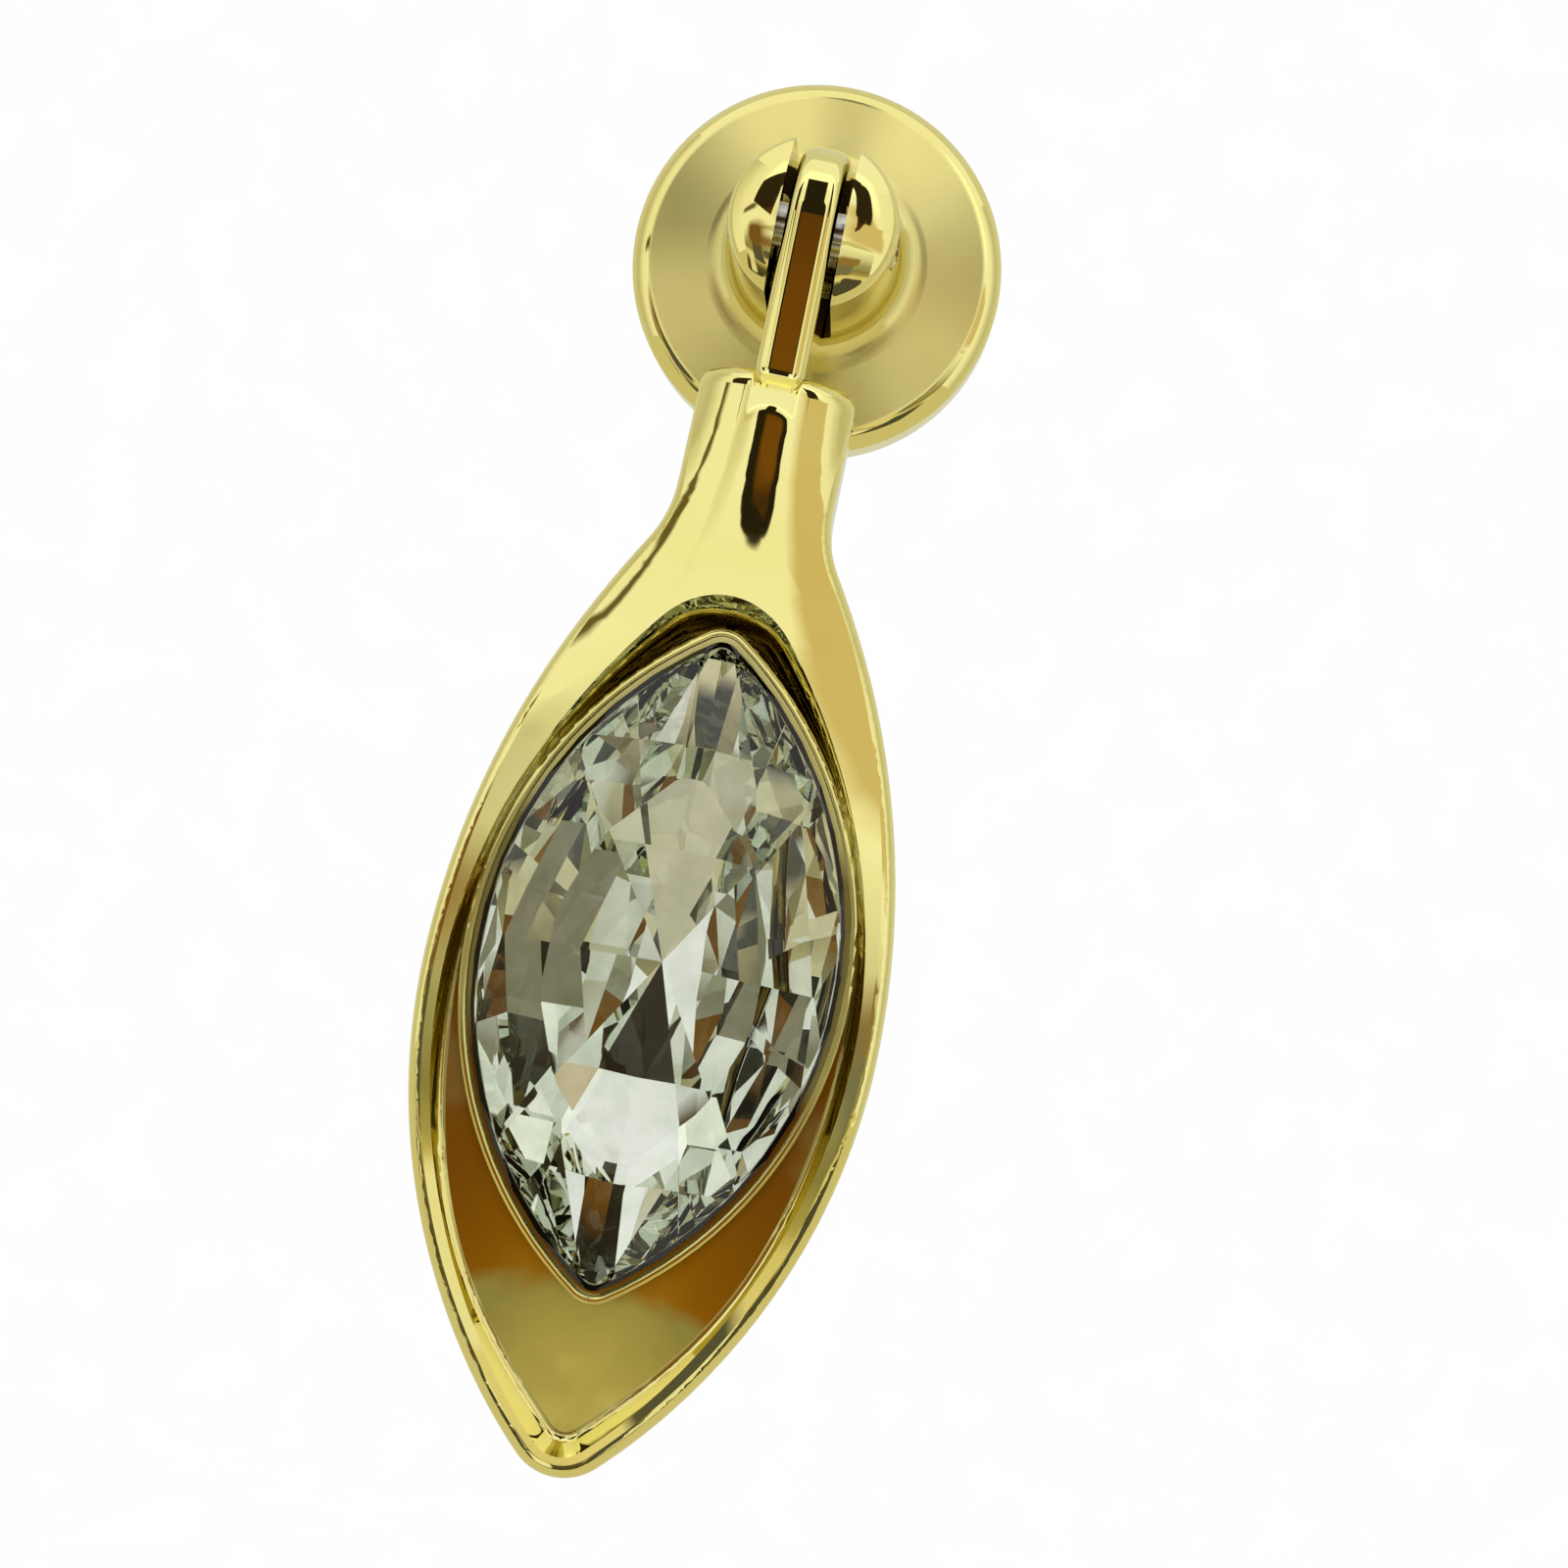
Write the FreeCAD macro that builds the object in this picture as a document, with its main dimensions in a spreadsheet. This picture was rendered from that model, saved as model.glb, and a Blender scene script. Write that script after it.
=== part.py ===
import FreeCAD, Part
import math
import os
import Sketcher

# A drop pull for a drawer or door. X runs across it, Z is up, and the door's face is the plane Y = 0.
# The pull stands out of the door towards -Y. All sizes are in millimetres.

doc = FreeCAD.newDocument("drop_pull")
sheet = doc.addObject("Spreadsheet::Sheet", "sizes")

# The driving sizes. "Off" is the distance off the door, "drop" is how far below the hinge pin,
# and a level, top or low is in front of the pendant's middle plane.
SIZES = {
    # rosette
    "disc_radius": 12.3,
    "disc_wall": 3.2,
    "crease_radius": 11.1,
    "crease_off": 4.4,
    "bevel_radius": 2.4,
    "face_radius": 7.3,
    "face_slope": 0.16,
    "flare_radius": 2.2,
    "post_radius": 5.2,
    "dome_off": 17.2,
    "dome_radius": 7.4,
    "post_edge": 1.0,
    "back_edge": 0.3,
    "slot_half": 2.05,
    "slot_floor_off": 7.0,
    "screw_bore_radius": 1.65,
    "screw_bore_depth": 6.0,
    # hinge pin
    "pin_off": 12.5,
    "pin_radius": 1.375,
    "pin_half": 5.2,
    # pendant, its link and collar
    "eye_radius": 5.0,
    "eye_clearance": 0.05,
    "link_half": 1.5,
    "link_foot_depth": 4.4,
    "link_foot_drop": 10.7,
    "link_edge": 0.9,
    "collar_top_drop": 9.7,
    "collar_half": 4.8,
    "neck_radius": 6.7,
    "half_width": 14.2,
    "widest_drop": 49.0,
    "upper_arc": 52.0,
    "tip_drop": 78.0,
    "tip_radius": 3.6,
    "blank_half": 6.0,
    "shoulder_edge": 1.2,
    # dished face
    "lip_side": 1.5,
    "lip_tip": 1.5,
    "dish_upper": 24.5,
    "dish_crown": 4.6,
    "dish_tip": 2.2,
    "dish_level": 2.8,
    "dish_top_level": 5.6,
    "dish_low_level": 0.6,
    "dish_draft": 0.58,
    "dish_fillet": 0.6,
    # crystal, its bezel and pocket
    "crystal_half_width": 11.0,
    "crystal_half_length": 20.0,
    "crystal_end": 1.2,
    "crystal_rise": 2.9,
    "girdle_low": 2.2,
    "girdle_thick": 0.4,
    "crown_height": 2.3,
    "pavilion_inset": 0.45,
    "pavilion_gap": 0.1,
    "pavilion_depth": 4.9,
    "seat_gap": 0.35,
    "bezel_wall": 0.5,
    "bezel_base": 0.9,
    "bezel_top": 2.65,
    "bezel_edge": 0.2,
    "pocket_floor": -3.0,
    "pocket_taper": 5.4,
    "pocket_end_taper": 6.0,
    "overrun": 2.8,
    "edge_margin": 0.5,
}

# Where the crystal's facets meet the table and the keel, as shares of the girdle's reach, and how far each
# row of crown facets leans out below the girdle.
SHARES = {
    "table_share": 0.58,
    "star_share": 0.59,
    "upper_share": 0.75,
    "keel_share": 0.30,
    "table_lean": 0.42,
    "star_lean": 0.77,
    "upper_lean": 0.25,
}

# Stations down the pendant for its crowned faces: the size that each is measured from and how far below it.
# Then the front and back heights, how far the crown falls to the section's edge, and that edge's
# distance past the size that it follows.
CROWN = {
    "top": ("collar_top_drop", -1.7, 4.9, 4.7, 3.3, "collar_half", 0.3),
    "neck": ("collar_top_drop", 5.3, 4.85, 4.65, 3.55, "collar_half", 0.8),
    "throat": ("collar_top_drop", 12.3, 4.75, 4.6, 4.15, "half_width", -5.6),
    "brow": ("widest_drop", -16.4, 4.5, 4.5, 3.75, "half_width", 0.3),
    "waist": ("widest_drop", -0.8, 4.2, 4.4, 2.25, "half_width", 1.8),
    "foot": ("widest_drop", 16.6, 3.35, 3.5, 2.0, "half_width", -0.2),
    "end": ("tip_drop", 3.4, 2.3, 2.2, 1.0, "half_width", -5.2),
}

# Stations of the dish's floor: measured from, how far below it, height, and its climb to the section's edge.
FLOOR = {
    "head": ("crest_drop", -6.0, 1.9, 0.3),
    "girth": ("widest_drop", 0.0, 1.7, 0.3),
    "point": ("widest_drop", 12.4, 1.5, 1.1),
    "scoop": ("tip_drop", -7.9, 1.3, 3.0),
    "rim": ("tip_drop", 3.0, 1.6, 4.5),
}

row = 0


def put(alias, text):
    """One named cell: a number or a formula."""
    global row
    row += 1
    sheet.set("A%d" % row, alias)
    sheet.set("B%d" % row, text)
    sheet.setAlias("B%d" % row, alias)


for alias, number in list(SIZES.items()) + list(SHARES.items()):
    put(alias, str(number))
put("face_lean", "=1 / sqrt(1 + face_slope^2)")
put("face_off", "=crease_off + face_slope * (crease_radius - face_radius)")
put("flare_top_radius", "=face_radius + flare_radius * (face_slope * face_lean - 1)")
put("flare_top_off", "=face_off + flare_radius * face_lean")
put("post_off", "=dome_off - dome_radius + sqrt(dome_radius^2 - post_radius^2)")
put("crest_drop", "=widest_drop - dish_upper")
put("front_reach", "=blank_half + overrun")
put("slot_reach", "=dome_off + overrun")
for name, (start, below, front, back, fall, follows, past) in CROWN.items():
    put("crown_%s_below" % name, str(below))
    put("crown_%s_level" % name, "=0 - %s - crown_%s_below" % (start, name))
    put("crown_%s_front" % name, str(front))
    put("crown_%s_back" % name, str(back))
    put("crown_%s_fall" % name, str(fall))
    put("crown_%s_past" % name, str(past))
    put("crown_%s_half" % name, "=%s + crown_%s_past" % (follows, name))
    put("crown_%s_front_side" % name, "=crown_{0}_front - crown_{0}_fall".format(name))
    put("crown_%s_back_side" % name, "=crown_{0}_back - crown_{0}_fall".format(name))
    put("crown_%s_across" % name, "=(crown_{0}_half^2 + crown_{0}_fall^2) / (2 * crown_{0}_fall)".format(name))
for name, (start, below, height, climb) in FLOOR.items():
    put("floor_%s_below" % name, str(below))
    put("floor_%s_level" % name, "=0 - %s - floor_%s_below" % (start, name))
    put("floor_%s_height" % name, str(height))
    put("floor_%s_climb" % name, str(climb))
    put("floor_%s_side" % name, "=floor_{0}_height + floor_{0}_climb".format(name))
    put("floor_%s_across" % name, "=(half_width^2 + floor_{0}_climb^2) / (2 * floor_{0}_climb)".format(name))
put("crystal_drop", "=widest_drop - crystal_rise")
put("dish_half_width", "=half_width - lip_side")
put("dish_lower", "=tip_drop - widest_drop - lip_tip")


def oval_end(name, end, sign, reach, ball):
    """Cells of one end of a pointed oval: two long arcs from the widest level, tangent to a rounded point."""
    ball_cell, reach_cell, arc_cell, half_cell = (name + word for word in
                                                  (end + "_ball", end + "_reach", end + "_arc", "_half"))
    put(ball_cell, "=" + ball)
    put(reach_cell, "=" + reach)
    put(arc_cell, "=((%s - %s)^2 + %s^2 - %s^2) / (2 * (%s - %s))"
        % (reach_cell, ball_cell, half_cell, ball_cell, half_cell, ball_cell))
    share = "%s / (%s - %s)" % (arc_cell, arc_cell, ball_cell)
    put(name + end + "_x", "=%s - %s + (%s - %s) * %s" % (half_cell, arc_cell, arc_cell, half_cell, share))
    put(name + end + "_z", "=%s_widest %s (%s - %s) * %s" % (name, sign, reach_cell, ball_cell, share))


def lens(name, half, upper, crown, lower, tip, drop):
    """Cells of a whole pointed oval."""
    put(name + "_half", "=" + half)
    put(name + "_widest", "=-(%s)" % drop)
    oval_end(name, "_up", "+", upper, crown)
    oval_end(name, "_low", "-", lower, tip)


# the pendant's lower half is half of such an oval
put("body_half", "=half_width")
put("body_widest", "=-widest_drop")
oval_end("body", "_low", "-", "tip_drop - widest_drop", "tip_radius")
put("collar_top", "=-collar_top_drop")
put("neck_rise", "=sqrt((upper_arc + neck_radius)^2 - (upper_arc - half_width + collar_half + neck_radius)^2)")
put("neck_z", "=neck_rise - widest_drop")
put("neck_join_x", "=(upper_arc - half_width + collar_half + neck_radius) * upper_arc"
    " / (upper_arc + neck_radius) - (upper_arc - half_width)")
put("neck_join_z", "=neck_rise * upper_arc / (upper_arc + neck_radius) - widest_drop")
put("link_foot_z", "=-link_foot_drop")
put("link_reach", "=link_foot_depth^2 + link_foot_drop^2")
put("eye_join_y", "=(eye_radius^2 * link_foot_depth + eye_radius * sqrt(link_reach - eye_radius^2)"
    " * link_foot_drop) / link_reach")
put("eye_join_z", "=(eye_radius * sqrt(link_reach - eye_radius^2) * link_foot_depth"
    " - eye_radius^2 * link_foot_drop) / link_reach")
put("eye_bore", "=pin_radius + eye_clearance")
put("girdle_high", "=girdle_low + girdle_thick")
put("shift_top", "=(dish_top_level - dish_level) * dish_draft")
put("shift_low", "=(dish_low_level - dish_level) * dish_draft")
for name, shift in (("dishtop", "shift_top"), ("dishlow", "shift_low")):
    lens(name, "dish_half_width + " + shift, "dish_upper + " + shift, "dish_crown + " + shift,
         "dish_lower + " + shift, "dish_tip + " + shift, "widest_drop")
for name, shift in (("boss", "seat_gap + bezel_wall"), ("seat", "seat_gap"),
                    ("well", "pavilion_gap - pavilion_inset")):
    lens(name, "crystal_half_width + " + shift, "crystal_half_length + " + shift, "crystal_end + " + shift,
         "crystal_half_length + " + shift, "crystal_end + " + shift, "crystal_drop")
lens("wellfloor", "crystal_half_width - pocket_taper", "crystal_half_length - pocket_end_taper", "crystal_end",
     "crystal_half_length - pocket_end_taper", "crystal_end", "crystal_drop")
doc.recompute()


def size(alias):
    """The value of a named cell."""
    return float(sheet.get(alias))


def value(spec):
    """The number for a coordinate given as 0, a cell's name or a name with a minus sign."""
    if spec == "0":
        return 0.0
    return -size(spec[1:]) if spec[0] == "-" else size(spec)


def bound(spec):
    """The expression for the same coordinate."""
    return "-sizes." + spec[1:] if spec[0] == "-" else "sizes." + spec


def new_body(label):
    body = doc.addObject("PartDesign::Body", label)
    body.Label = label
    return body


def new_sketch(body, label, role, offset=None):
    """A sketch on one of the body's own origin planes, moved along its normal by a named size."""
    sketch = body.newObject("Sketcher::SketchObject", label)
    plane = [f for f in body.Origin.OriginFeatures if f.Role == role][0]
    sketch.AttachmentSupport = [(plane, "")]
    sketch.MapMode = "FlatFace"
    if offset:
        sketch.setExpression("AttachmentOffset.Base.z", "sizes." + offset)
    return sketch


def hold(sketch, kind, parts, number, cell):
    """A named constraint that follows a cell."""
    index = sketch.addConstraint(Sketcher.Constraint(kind, *parts, number))
    name = "c%d" % index
    sketch.renameConstraint(index, name)
    sketch.setExpression("Constraints." + name, cell)


def pin_point(sketch, where, point):
    """Holds a point of the sketch at two named coordinates."""
    for kind, spec, axis in (("DistanceX", point[0], -2), ("DistanceY", point[1], -1)):
        if spec == "0":
            sketch.addConstraint(Sketcher.Constraint("PointOnObject", *where, axis))
        else:
            hold(sketch, kind, (-1, 1) + where, value(spec), bound(spec))


def trace(sketch, points, runs):
    """A closed outline. Each run is None for a line, or (radius cell, side), +1 for a centre on the left."""
    ends = []
    for index, run in enumerate(runs):
        first = points[index]
        last = points[(index + 1) % len(points)]
        a = FreeCAD.Vector(value(first[0]), value(first[1]), 0)
        b = FreeCAD.Vector(value(last[0]), value(last[1]), 0)
        if run is None:
            shape = Part.LineSegment(a, b)
            at = sketch.addGeometry(shape)
            ends.append(((at, 1), (at, 2)))
            continue
        radius = size(run[0])
        along = b - a
        left = FreeCAD.Vector(-along.y, along.x, 0).normalize()
        centre = (a + b) * 0.5 + left * run[1] * math.sqrt(max(radius ** 2 - along.Length ** 2 / 4, 0.0))
        start = a if run[1] > 0 else b
        stop = b if run[1] > 0 else a
        from_angle = math.atan2(start.y - centre.y, start.x - centre.x)
        to_angle = math.atan2(stop.y - centre.y, stop.x - centre.x)
        circle = Part.Circle(centre, FreeCAD.Vector(0, 0, 1), radius)
        at = sketch.addGeometry(Part.ArcOfCircle(circle, from_angle, to_angle))
        ends.append(((at, 1), (at, 2)) if run[1] > 0 else ((at, 2), (at, 1)))
        hold(sketch, "Radius", (at,), radius, "sizes." + run[0])
    for index, (begin, end) in enumerate(ends):
        after = ends[(index + 1) % len(ends)][0]
        sketch.addConstraint(Sketcher.Constraint("Coincident", *end, *after))
        pin_point(sketch, begin, points[index])


def ring(sketch, radius, point):
    """A circle about a named point."""
    centre = FreeCAD.Vector(value(point[0]), value(point[1]), 0)
    at = sketch.addGeometry(Part.Circle(centre, FreeCAD.Vector(0, 0, 1), size(radius)))
    hold(sketch, "Radius", (at,), size(radius), "sizes." + radius)
    if point == ("0", "0"):
        sketch.addConstraint(Sketcher.Constraint("Coincident", at, 3, -1, 1))
    else:
        pin_point(sketch, (at, 3), point)


def oval(sketch, name):
    """The pointed oval of a set of lens cells, with X across and Z up the sketch."""
    half, mid = name + "_half", name + "_widest"
    up_x, up_z, low_x, low_z = (name + end for end in ("_up_x", "_up_z", "_low_x", "_low_z"))
    trace(sketch,
          [(half, mid), (up_x, up_z), ("-" + up_x, up_z), ("-" + half, mid), ("-" + low_x, low_z),
           (low_x, low_z)],
          [(name + "_up_arc", 1), (name + "_up_ball", 1), (name + "_up_arc", 1),
           (name + "_low_arc", 1), (name + "_low_ball", 1), (name + "_low_arc", 1)])


def feature(body, kind, label, **settings):
    made = body.newObject("PartDesign::" + kind, label)
    for key, setting in settings.items():
        setattr(made, key, setting)
    return made


def volume(body):
    doc.recompute()
    return body.Shape.Volume


def rounded(body, kind, label, amount, wanted):
    """Rounds or bevels the edges that the test picks."""
    doc.recompute()
    base = body.Tip
    names = ["Edge%d" % (n + 1) for n, edge in enumerate(base.Shape.Edges) if wanted(edge)]
    made = feature(body, kind, label, Base=(base, names))
    made.setExpression("Radius" if kind == "Fillet" else "Size", "sizes." + amount)
    doc.recompute()
    if not made.Shape.isValid() or made.Shape.isNull() or "Invalid" in made.State:
        raise RuntimeError("%s failed on %d edges" % (label, len(names)))
    return made


def middle(edge):
    return edge.valueAt((edge.FirstParameter + edge.LastParameter) / 2)


# rosette: one turned casting, slotted across its post
rosette = new_body("rosette")
profile = new_sketch(rosette, "rosette_profile", "XY_Plane")
trace(profile,
      [("0", "0"), ("disc_radius", "0"), ("disc_radius", "-disc_wall"), ("crease_radius", "-crease_off"),
       ("face_radius", "-face_off"), ("flare_top_radius", "-flare_top_off"), ("post_radius", "-post_off"),
       ("0", "-dome_off")],
      [None, None, ("bevel_radius", -1), None, ("flare_radius", 1), None, ("dome_radius", -1), None])
feature(rosette, "Revolution", "turned", Profile=profile, ReferenceAxis=(profile, ["V_Axis"]), Angle=360.0)
post_off, post_radius = size("post_off"), size("post_radius")
rounded(rosette, "Fillet", "post_end", "post_edge",
        lambda e: abs(e.BoundBox.YMax + post_off) < 1e-3 and abs(e.BoundBox.YMin + post_off) < 1e-3)
rounded(rosette, "Chamfer", "back_rim", "back_edge",
        lambda e: abs(e.BoundBox.YMax) < 1e-3 and abs(e.BoundBox.YMin) < 1e-3)
slot_sketch = new_sketch(rosette, "slot_profile", "XY_Plane")
trace(slot_sketch,
      [("-slot_half", "-slot_reach"), ("slot_half", "-slot_reach"), ("slot_half", "-slot_floor_off"),
       ("-slot_half", "-slot_floor_off")], [None, None, None, None])
feature(rosette, "Pocket", "slot", Profile=slot_sketch, Type="ThroughAll", Midplane=True)
pin_sketch = new_sketch(rosette, "pin_bore_profile", "YZ_Plane")
ring(pin_sketch, "pin_radius", ("-pin_off", "0"))
feature(rosette, "Pocket", "pin_bore", Profile=pin_sketch, Type="ThroughAll", Midplane=True)
screw_sketch = new_sketch(rosette, "screw_bore_profile", "XZ_Plane")
ring(screw_sketch, "screw_bore_radius", ("0", "0"))
screw_bore = feature(rosette, "Pocket", "screw_bore", Profile=screw_sketch, Type="Length", Reversed=True)
screw_bore.setExpression("Length", "sizes.screw_bore_depth")

# hinge pin: plain, pressed across the two ears
hinge_pin = new_body("hinge_pin")
hinge_pin.setExpression(".Placement.Base.y", "-sizes.pin_off")
pin_round = new_sketch(hinge_pin, "pin_profile", "YZ_Plane")
ring(pin_round, "pin_radius", ("0", "0"))
pin_bar = feature(hinge_pin, "Pad", "pin_bar", Profile=pin_round, Midplane=True)
pin_bar.setExpression("Length", "2 * sizes.pin_half")

# pendant: one casting, in its own frame with the hinge at its origin and its middle plane on XZ
pendant = new_body("pendant")
pendant.setExpression(".Placement.Base.y", "-sizes.pin_off")
outline = new_sketch(pendant, "pendant_outline", "XZ_Plane")
trace(outline,
      [("collar_half", "collar_top"), ("-collar_half", "collar_top"), ("-collar_half", "neck_z"),
       ("-neck_join_x", "neck_join_z"), ("-half_width", "body_widest"), ("-body_low_x", "body_low_z"),
       ("body_low_x", "body_low_z"), ("half_width", "body_widest"), ("neck_join_x", "neck_join_z"),
       ("collar_half", "neck_z")],
      [None, None, ("neck_radius", -1), ("upper_arc", 1), ("body_low_arc", 1), ("tip_radius", 1),
       ("body_low_arc", 1), ("upper_arc", 1), ("neck_radius", -1), None])
blank = feature(pendant, "Pad", "blank", Profile=outline, Midplane=True)
blank.setExpression("Length", "2 * sizes.blank_half")


def crown_cut(face, sign):
    """Cuts the blank down to its crowned front or back face."""
    sections = []
    far = sign + "front_reach"
    turn = 1 if sign else -1
    for name in CROWN:
        sketch = new_sketch(pendant, "%s_%s" % (face, name), "XY_Plane", "crown_%s_level" % name)
        half = "crown_%s_half" % name
        side = "%scrown_%s_%s_side" % (sign, name, face)
        trace(sketch, [("-" + half, side), (half, side), (half, far), ("-" + half, far)],
              [("crown_%s_across" % name, turn), None, None, None])
        sections.append(sketch)
    before = volume(pendant)
    feature(pendant, "SubtractiveLoft", face + "_crown", Profile=sections[0], Sections=sections[1:])
    if before - volume(pendant) < 1:
        raise RuntimeError(face + " crown cuts nothing")


crown_cut("front", "-")
crown_cut("back", "")
rounded(pendant, "Fillet", "shoulder", "shoulder_edge", lambda e: True)

# the link bar rises from the collar to the bored eye
link = new_body("link")
link_sketch = new_sketch(link, "link_profile", "YZ_Plane")
trace(link_sketch,
      [("link_foot_depth", "link_foot_z"), ("eye_join_y", "eye_join_z"), ("0", "eye_radius"),
       ("-eye_join_y", "eye_join_z"), ("-link_foot_depth", "link_foot_z")],
      [None, ("eye_radius", 1), ("eye_radius", 1), None, None])
bar = feature(link, "Pad", "bar", Profile=link_sketch, Midplane=True)
bar.setExpression("Length", "2 * sizes.link_half")
link_half, link_foot_z = size("link_half"), size("link_foot_z")


def on_link_side(edge):
    box = edge.BoundBox
    flat = box.XMax - box.XMin < 1e-3 and abs(abs(box.XMax) - link_half) < 1e-3
    return flat and box.ZMax > link_foot_z + size("edge_margin")


rounded(link, "Fillet", "link_rounding", "link_edge", on_link_side)
joined = feature(pendant, "Boolean", "joined", Type="Fuse")
joined.setObjects([link])
pendant.Tip = joined
eye_sketch = new_sketch(pendant, "eye_profile", "YZ_Plane")
ring(eye_sketch, "eye_bore", ("0", "0"))
feature(pendant, "Pocket", "eye", Profile=eye_sketch, Type="ThroughAll", Midplane=True)

# the dish is a tapered pointed oval over a hollow floor, taken out of the crowned face
dish = new_body("dish")
dish_top = new_sketch(dish, "dish_top", "XZ_Plane", "dish_top_level")
oval(dish_top, "dishtop")
dish_low = new_sketch(dish, "dish_low", "XZ_Plane", "dish_low_level")
oval(dish_low, "dishlow")
feature(dish, "AdditiveLoft", "dish_walls", Profile=dish_top, Sections=[dish_low])
floors = []
for name in FLOOR:
    sketch = new_sketch(dish, "floor_" + name, "XY_Plane", "floor_%s_level" % name)
    side = "-floor_%s_side" % name
    trace(sketch, [("-half_width", side), ("half_width", side), ("half_width", "front_reach"),
                   ("-half_width", "front_reach")], [("floor_%s_across" % name, -1), None, None, None])
    floors.append(sketch)
before = volume(dish)
feature(dish, "SubtractiveLoft", "dish_floor", Profile=floors[0], Sections=floors[1:])
if before - volume(dish) < 1:
    raise RuntimeError("the dish has no floor")
floor_low = size("dish_top_level") - size("edge_margin")


def at_dish_floor(edge):
    faces = dish.Tip.Shape.ancestorsOfType(edge, Part.Face)
    kinds = [abs(face.normalAt(*face.Surface.parameter(middle(edge))).y) > 0.9 for face in faces]
    return -edge.BoundBox.YMin < floor_low and kinds.count(True) == 1


rounded(dish, "Fillet", "dish_fillet_round", "dish_fillet", at_dish_floor)
hollow = feature(pendant, "Boolean", "hollow", Type="Cut")
hollow.setObjects([dish])
pendant.Tip = hollow

# the bezel is the rim of a boss, pocketed for the crystal with a narrow flat ledge over a deeper well
setting = new_body("setting")
boss_sketch = new_sketch(setting, "boss_profile", "XZ_Plane", "bezel_base")
oval(boss_sketch, "boss")
boss = feature(setting, "Pad", "boss", Profile=boss_sketch)
boss.setExpression("Length", "sizes.bezel_top - sizes.bezel_base")
seat_sketch = new_sketch(setting, "seat_profile", "XZ_Plane", "bezel_top")
oval(seat_sketch, "seat")
seat = feature(setting, "Pocket", "seat", Profile=seat_sketch)
seat.setExpression("Length", "sizes.bezel_top - sizes.girdle_low")
bezel_top = size("bezel_top")
rounded(setting, "Fillet", "bezel_rounding", "bezel_edge",
        lambda e: abs(e.BoundBox.YMin + bezel_top) < 1e-3 and abs(e.BoundBox.YMax + bezel_top) < 1e-3)
raised = feature(pendant, "Boolean", "raised", Type="Fuse")
raised.setObjects([setting])
pendant.Tip = raised
way_in = new_sketch(pendant, "way_in_profile", "XZ_Plane", "dish_top_level")
oval(way_in, "seat")
entry = feature(pendant, "Pocket", "way_in", Profile=way_in)
entry.setExpression("Length", "sizes.dish_top_level - sizes.girdle_low")
well_top = new_sketch(pendant, "well_top", "XZ_Plane", "girdle_low")
oval(well_top, "well")
well_low = new_sketch(pendant, "well_low", "XZ_Plane", "pocket_floor")
oval(well_low, "wellfloor")
feature(pendant, "SubtractiveLoft", "well", Profile=well_top, Sections=[well_low])

# crystal: every facet is a plane, placed by its bearing round the oval and its slope
crystal = doc.addObject("Part::Feature", "crystal")
crystal.Label = "crystal"


def reach_at(bearing, half, length, ball):
    """How far the pointed oval reaches along a bearing, in degrees up from X."""
    arc = ((length - ball) ** 2 + half ** 2 - ball ** 2) / (2 * (half - ball))
    turn = math.radians(bearing)
    flank = arc - (arc - half) * abs(math.cos(turn))
    end = (length - ball) * abs(math.sin(turn)) + ball
    steep = math.atan2(length - ball, arc - half)
    return flank if abs(math.asin(math.sin(turn))) < steep else end


def clip(faces, normal, limit):
    """Cuts a convex solid, given as lists of corners, down to the side where normal . corner <= limit."""
    kept = []
    rim = []
    for corners in faces:
        heights = [normal.dot(corner) - limit for corner in corners]
        if min(heights) > -1e-9:
            rim.extend(corner for corner, height in zip(corners, heights) if abs(height) < 1e-9)
            continue
        if max(heights) <= 1e-9:
            rim.extend(corner for corner, height in zip(corners, heights) if abs(height) < 1e-9)
            kept.append(corners)
            continue
        left = []
        for index, corner in enumerate(corners):
            after = corners[(index + 1) % len(corners)]
            low, high = heights[index], heights[(index + 1) % len(corners)]
            if low <= 0:
                left.append(corner)
            if (low < 0 < high) or (high < 0 < low):
                crossing = corner + (after - corner) * (low / (low - high))
                left.append(crossing)
                rim.append(crossing)
            elif low == 0:
                rim.append(corner)
        kept.append(left)
    ring_points = []
    for corner in rim:
        if all((corner - other).Length > 1e-6 for other in ring_points):
            ring_points.append(corner)
    if len(ring_points) > 2:
        centre = FreeCAD.Vector(0, 0, 0)
        for corner in ring_points:
            centre = centre + corner
        centre = centre * (1.0 / len(ring_points))
        across = (ring_points[0] - centre).normalize()
        up = normal.normalize().cross(across)
        ring_points.sort(key=lambda c: math.atan2((c - centre).dot(up), (c - centre).dot(across)))
        kept.append(ring_points)
    return kept


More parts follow.
